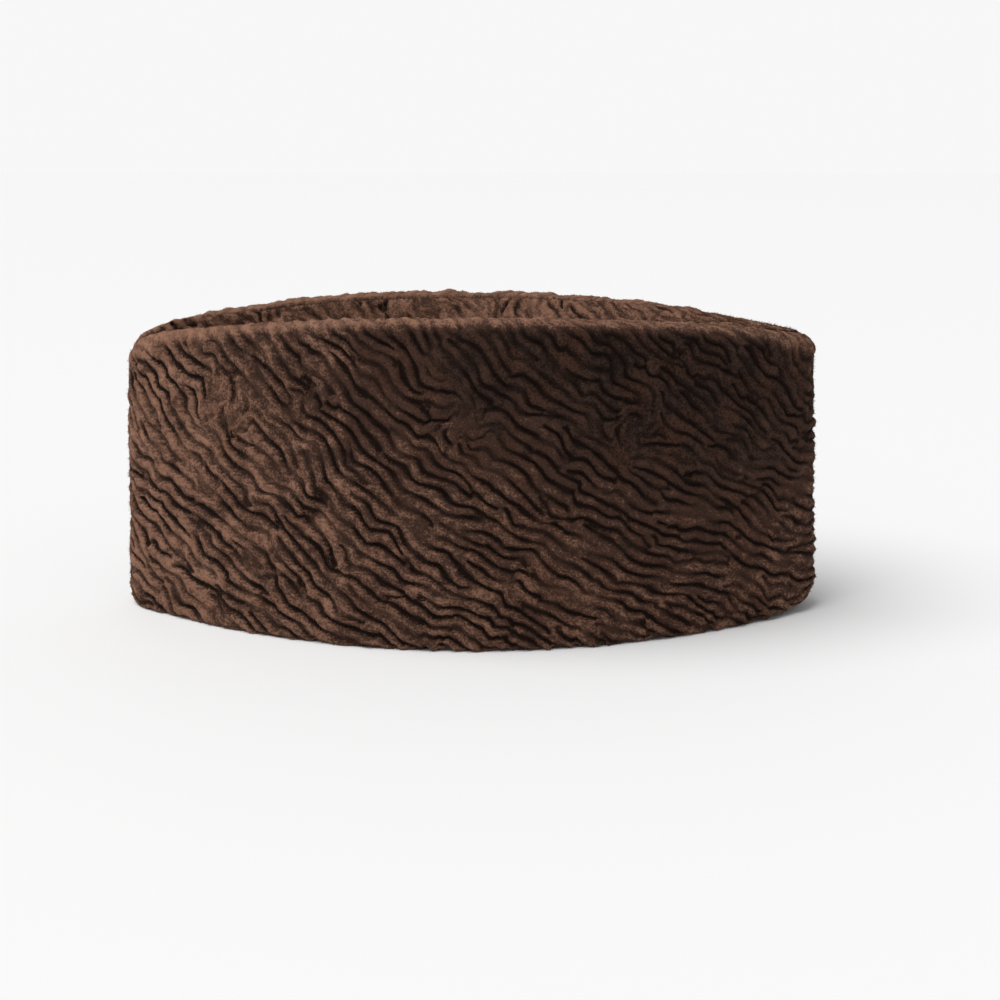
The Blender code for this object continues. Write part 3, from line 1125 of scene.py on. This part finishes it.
def sidePanel(name, nodeName, slotName, side, user):
    rings, run, heights = sideRings(surfaceTree(nodeName), side, user)
    along = np.repeat(run[:, None], user["outerRows"], 1) * mmPerMetre
    up = heights * mmPerMetre
    sheet = makeSheet(user, 2 * run[-1] * mmPerMetre, heights.max() * mmPerMetre)
    fur = furAt(sheet, along, up)

    # the ridges end at the rim, under the hem and at the seams
    fromSeam = heights[:, -1:] - heights
    fromEnd = (run[-1] - np.abs(run))[:, None]
    front = smoothStep((fromSeam - user["rimStart"]) / user["rimEase"])
    hem = smoothStep(heights / user["hemEase"])
    fur["strength"] = fur["strength"] * (user["rimRidges"] + (1 - user["rimRidges"]) * front) * hem
    fold = np.exp(-(((fromSeam - reliefUser["rimPlace"]) / reliefUser["rimReach"]) ** 2))
    fold = fold * smoothStep(fromEnd / reliefUser["rimEnd"])
    bulge = reliefUser["rimBulge"] * (1 + user["rimUneven"] * fur["patches"])
    height = reliefHeight(fur) + bulge * fold
    height = tuckedIn(height * hem, np.minimum(fromSeam, fromEnd))

    tone = user["toneMean"] + user["patchTone"] * fur["patches"] + user["fleckTone"] * fur["flecks"]
    # the listed tone patches: partly the fur's colour and, on the near panel, partly painted shade
    # and light
    for toneAlong, toneUp, reachAlong, reachUp, change in user["tones"]:
        off = ((along - toneAlong) / reachAlong) ** 2 + ((up - toneUp) / reachUp) ** 2
        tone += change * np.exp(-off)
    # painted light over the rim: lighter fur where the fold faces up to the light
    rimPaintedLightTone = user["rimPaintedLightTone"] - user["rimSlope"] * run[:, None] / run[-1]
    tone = tone * front + rimPaintedLightTone * (1 - front)
    rust = np.clip(user["rustMean"] + user["rustSpread"] * fur["rust"], 0.0, 1.0)
    panel, tones, waves = makePanel(name, rings, side, fur, height, tone, rust)
    bare = user["grooveBare"] * grooveShare(fur) + smoothStep(1 - heights / user["hemBare"])
    bare = np.clip(bare, 0.0, 1.0)
    skin = rings[:, : user["outerRows"]]
    hairs = addHairs(
        name + "Hairs", skin, side, fur["flow"], bare, 1 - front, tones, waves,
        user["hairs"], seedOf(user, "hairs")
    )
    dressPanel(panel, hairs, nodeName, slotName)


sidePanel("leftSideFur", "left_side_panel", "left_side_fur", 1, leftSideUser)
sidePanel("rightSideFur", "right_side_panel", "right_side_fur", -1, rightSideUser)


# Crown panels, which are creased down to the middle seam

crownUser = dict(
    sideUser,
    hairs=21000,
    cell=0.0008,
    outerRows=58,
    innerRows=10,
    fewestHits=4,
    sheetLength=240.0,
    sheetHeight=60.0,
    # painted light: the crown's fur is set lighter than the walls', for the light on the cap's
    # upward faces
    toneMean=0.70,
    rustMean=0.30,
    rounds=5,
    reachAlong=5.0,
    reachAcross=2.0,
    leanLow=80.0,
    leanHigh=66.0,
    leanFront=0.0,
    leanBack=0.0,
    swingLean=75.0,
    fineness=1.0,
    finerBack=0.0,
    broadTurn=12.0,
    fineTurn=12.0,
    fineWidth=7.0,
    strokeMean=0.45,
    strokeSpread=0.35,
    whorls=(),
)
leftCrownUser = dict(crownUser, seed=57)
rightCrownUser = dict(crownUser, seed=83, leanLow=-66.0, leanHigh=-52.0, swingLean=-62.0)


def crownPanel(name, nodeName, slotName, side, user):
    rings, run, heights = crownRings(surfaceTree(nodeName), side, user)
    along = np.repeat(run[:, None], user["outerRows"], 1) * mmPerMetre
    up = heights * mmPerMetre
    sheet = makeSheet(user, user["sheetLength"], user["sheetHeight"])
    fur = furAt(sheet, along, up)
    fromSeams = np.minimum(heights, heights[:, -1:] - heights)
    height = tuckedIn(reliefHeight(fur), fromSeams)
    tone = user["toneMean"] + user["patchTone"] * fur["patches"] + user["fleckTone"] * fur["flecks"]
    rust = np.clip(user["rustMean"] + user["rustSpread"] * fur["rust"], 0.0, 1.0)
    panel, tones, waves = makePanel(name, rings, side, fur, height, tone, rust)
    bare = user["grooveBare"] * grooveShare(fur)
    skin = rings[:, : user["outerRows"]]
    hairs = addHairs(
        name + "Hairs", skin, side, fur["flow"], bare, np.zeros_like(bare), tones, waves,
        user["hairs"], seedOf(user, "hairs")
    )
    dressPanel(panel, hairs, nodeName, slotName)


crownPanel("leftCrownFur", "left_crown_panel", "left_crown_fur", 1, leftCrownUser)
crownPanel("rightCrownFur", "right_crown_panel", "right_crown_fur", -1, rightCrownUser)
